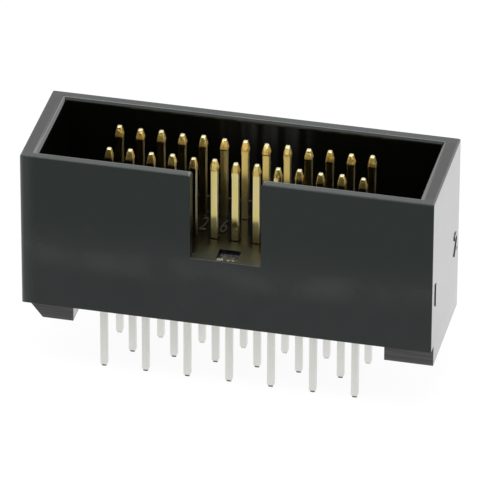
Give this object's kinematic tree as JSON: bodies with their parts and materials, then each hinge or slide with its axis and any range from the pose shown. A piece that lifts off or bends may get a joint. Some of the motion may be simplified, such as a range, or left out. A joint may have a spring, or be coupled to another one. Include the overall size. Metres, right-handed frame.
{
  "type": "shrouded board header",
  "caption": "Rectangular shrouded pin header for a circuit board: a black box with a key slot round two rows of gold posts, on staggered tin solder tails and two stand-off feet.",
  "frame": {"origin": "centre of the solder-tail grid on the board's top face, which is the plane under the feet", "axes": "+X along the length, away from the first contact's end; +Y away from the key slot; +Z out of the board, the way the mating plug leaves"},
  "size_m": [0.0248, 0.0078, 0.0144],
  "materials": {
    "housing_plastic": "black glass-filled thermoplastic, fine satin mould texture",
    "contact_plating": "copper alloy, gold-plated posts and matte tin-plated tails"
  },
  "bodies": {
    "root": {"housing": "housing_plastic", "front_contact_01": "contact_plating", "front_contact_02": "contact_plating", "front_contact_03": "contact_plating", "front_contact_04": "contact_plating", "front_contact_05": "contact_plating", "front_contact_06": "contact_plating", "front_contact_07": "contact_plating", "front_contact_08": "contact_plating", "front_contact_09": "contact_plating", "front_contact_10": "contact_plating", "front_contact_11": "contact_plating", "front_contact_12": "contact_plating", "front_contact_13": "contact_plating", "back_contact_01": "contact_plating", "back_contact_02": "contact_plating", "back_contact_03": "contact_plating", "back_contact_04": "contact_plating", "back_contact_05": "contact_plating", "back_contact_06": "contact_plating", "back_contact_07": "contact_plating", "back_contact_08": "contact_plating", "back_contact_09": "contact_plating", "back_contact_10": "contact_plating", "back_contact_11": "contact_plating", "back_contact_12": "contact_plating", "back_contact_13": "contact_plating"}
  },
  "joints": []
}
